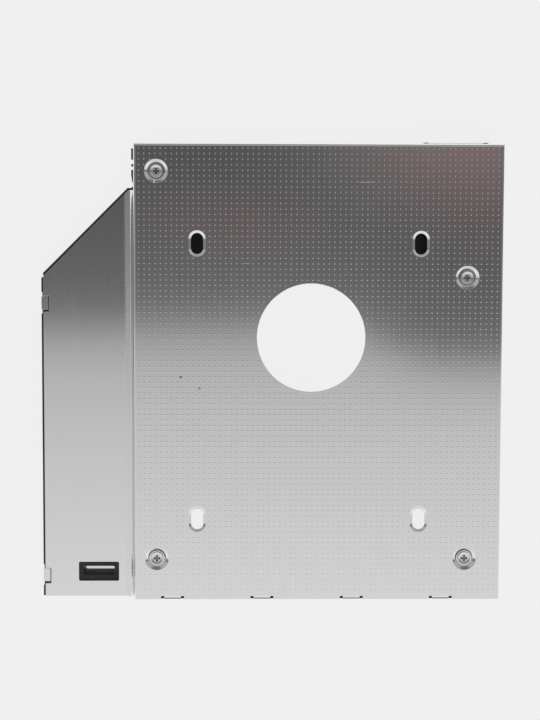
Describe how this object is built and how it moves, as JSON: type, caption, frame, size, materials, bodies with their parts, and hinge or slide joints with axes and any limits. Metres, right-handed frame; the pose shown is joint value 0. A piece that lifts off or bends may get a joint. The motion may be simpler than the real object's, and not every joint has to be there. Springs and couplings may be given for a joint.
{
  "type": "laptop drive caddy",
  "caption": "Flat tray that fits a slim optical-drive bay and carries a small hard drive: pressed dotted sheet over a black moulded frame with a side wing.",
  "frame": {"origin": "middle of the footprint, on the resting face at the open side of the bay", "axes": "+Z out of the dotted sheet, -Y to the front edge, +Y to the connector end, -X to the wing"},
  "size_m": [0.128, 0.1272, 0.0095],
  "materials": {
    "plate_metal": "bright rolled sheet, finely brushed",
    "frame_plastic": "fine moulded texture",
    "screw_metal": "bright plated",
    "board_laminate": "green solder mask",
    "clear_film": "black insulating film",
    "connector_plastic": "moulded",
    "contact_metal": "gold plated",
    "anchor_metal": "tin plated",
    "capacitor_body": "tan ceramic with tinned ends",
    "resistor_body": "black with tinned ends",
    "chip_body": "moulded",
    "light_lens": "clear, over a white base",
    "knob_plastic": "moulded",
    "foam": "open-cell foam",
    "insert_brass": "turned"
  },
  "bodies": {
    "caddy": {"under_cover": "plate_metal", "wing_cover": "plate_metal", "frame": "frame_plastic", "cover_screws": "screw_metal", "circuit_board": "board_laminate", "insulating_sheet": "clear_film", "drive_socket_housing": "connector_plastic", "drive_socket_contacts": "contact_metal", "drive_socket_anchors": "anchor_metal", "bay_plug_housing": "connector_plastic", "bay_plug_contacts": "contact_metal", "bay_plug_anchors": "anchor_metal", "board_capacitors": "capacitor_body", "board_resistors": "resistor_body", "regulator_chip": "chip_body", "status_light": "light_lens", "switch_case": "connector_plastic", "switch_shell": "anchor_metal", "drive_stop": "frame_plastic", "stop_pad": "foam", "bracket_inserts": "insert_brass"},
    "mode_switch": {"switch_knob": "knob_plastic"}
  },
  "joints": [
    {"name": "mode_switch_slide", "type": "slide", "parent": "caddy", "child": "mode_switch", "axis": [1, 0, 0], "range_m": [0, 0.002]}
  ]
}
